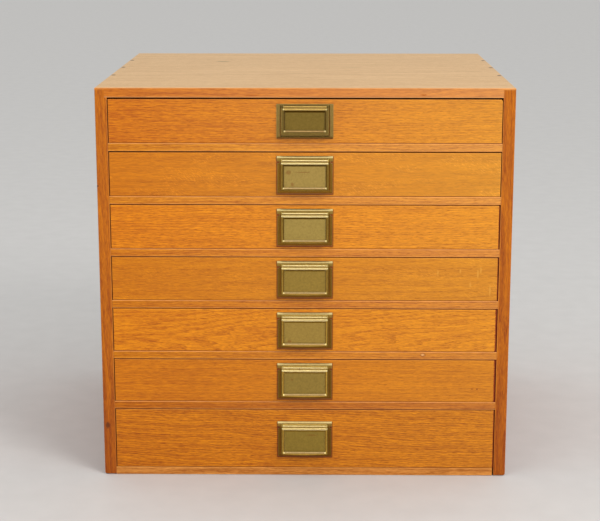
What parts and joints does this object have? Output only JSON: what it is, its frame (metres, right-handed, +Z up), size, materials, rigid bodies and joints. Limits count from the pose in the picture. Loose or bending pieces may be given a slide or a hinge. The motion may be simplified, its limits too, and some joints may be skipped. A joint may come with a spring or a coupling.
{
  "type": "cutlery chest",
  "caption": "Low oak chest whose full-width shallow drawers slide out towards the user, each with a hooded brass pull, for laying cutlery flat.",
  "frame": {"origin": "on the floor in the middle of the carcase, at mount base", "axes": "+X to the right of someone facing the drawers, +Y towards the back, +Z up; the drawers slide out along -Y"},
  "size_m": [0.48, 0.4555, 0.4644],
  "materials": {
    "lacquered_oak": "gloss lacquer over golden oak",
    "oak_top": "satin, paler oak",
    "raw_oak": "unfinished oak",
    "drawer_bottom": "thin oak panel",
    "back_board": "thin stained panel",
    "brass": "aged satin brass",
    "steel_nail": "darkened nail, stopped over",
    "green_baize": "woollen baize laid in the drawers"
  },
  "bodies": {
    "carcase": {"side_left": "lacquered_oak", "side_right": "lacquered_oak", "top_board": "oak_top", "bottom_board": "lacquered_oak", "divider_1": "lacquered_oak", "divider_2": "lacquered_oak", "divider_3": "lacquered_oak", "divider_4": "lacquered_oak", "divider_5": "lacquered_oak", "divider_6": "lacquered_oak", "back_panel": "back_board", "drawer_stops": "raw_oak", "top_nails": "steel_nail", "back_nails": "steel_nail"},
    "drawer_1": {"drawer_1_front": "lacquered_oak", "drawer_1_side_left": "raw_oak", "drawer_1_side_right": "raw_oak", "drawer_1_back": "raw_oak", "drawer_1_bottom": "drawer_bottom", "drawer_1_pull": "brass"},
    "drawer_2": {"drawer_2_front": "lacquered_oak", "drawer_2_side_left": "raw_oak", "drawer_2_side_right": "raw_oak", "drawer_2_back": "raw_oak", "drawer_2_bottom": "drawer_bottom", "drawer_2_pull": "brass"},
    "drawer_3": {"drawer_3_front": "lacquered_oak", "drawer_3_side_left": "raw_oak", "drawer_3_side_right": "raw_oak", "drawer_3_back": "raw_oak", "drawer_3_bottom": "drawer_bottom", "drawer_3_pull": "brass"},
    "drawer_4": {"drawer_4_front": "lacquered_oak", "drawer_4_side_left": "raw_oak", "drawer_4_side_right": "raw_oak", "drawer_4_back": "raw_oak", "drawer_4_bottom": "drawer_bottom", "drawer_4_pull": "brass"},
    "drawer_5": {"drawer_5_front": "lacquered_oak", "drawer_5_side_left": "raw_oak", "drawer_5_side_right": "raw_oak", "drawer_5_back": "raw_oak", "drawer_5_bottom": "drawer_bottom", "drawer_5_pull": "brass"},
    "drawer_6": {"drawer_6_front": "lacquered_oak", "drawer_6_side_left": "raw_oak", "drawer_6_side_right": "raw_oak", "drawer_6_back": "raw_oak", "drawer_6_bottom": "drawer_bottom", "drawer_6_pull": "brass"},
    "drawer_7": {"drawer_7_front": "lacquered_oak", "drawer_7_side_left": "raw_oak", "drawer_7_side_right": "raw_oak", "drawer_7_back": "raw_oak", "drawer_7_bottom": "drawer_bottom", "drawer_7_pull": "brass"}
  },
  "joints": [
    {"name": "drawer_1_slide", "type": "slide", "parent": "carcase", "child": "drawer_1", "axis": [0, -1, 0], "range_m": [0, 0.34]},
    {"name": "drawer_2_slide", "type": "slide", "parent": "carcase", "child": "drawer_2", "axis": [0, -1, 0], "range_m": [0, 0.34]},
    {"name": "drawer_3_slide", "type": "slide", "parent": "carcase", "child": "drawer_3", "axis": [0, -1, 0], "range_m": [0, 0.34]},
    {"name": "drawer_4_slide", "type": "slide", "parent": "carcase", "child": "drawer_4", "axis": [0, -1, 0], "range_m": [0, 0.34]},
    {"name": "drawer_5_slide", "type": "slide", "parent": "carcase", "child": "drawer_5", "axis": [0, -1, 0], "range_m": [0, 0.34]},
    {"name": "drawer_6_slide", "type": "slide", "parent": "carcase", "child": "drawer_6", "axis": [0, -1, 0], "range_m": [0, 0.34]},
    {"name": "drawer_7_slide", "type": "slide", "parent": "carcase", "child": "drawer_7", "axis": [0, -1, 0], "range_m": [0, 0.34]}
  ]
}
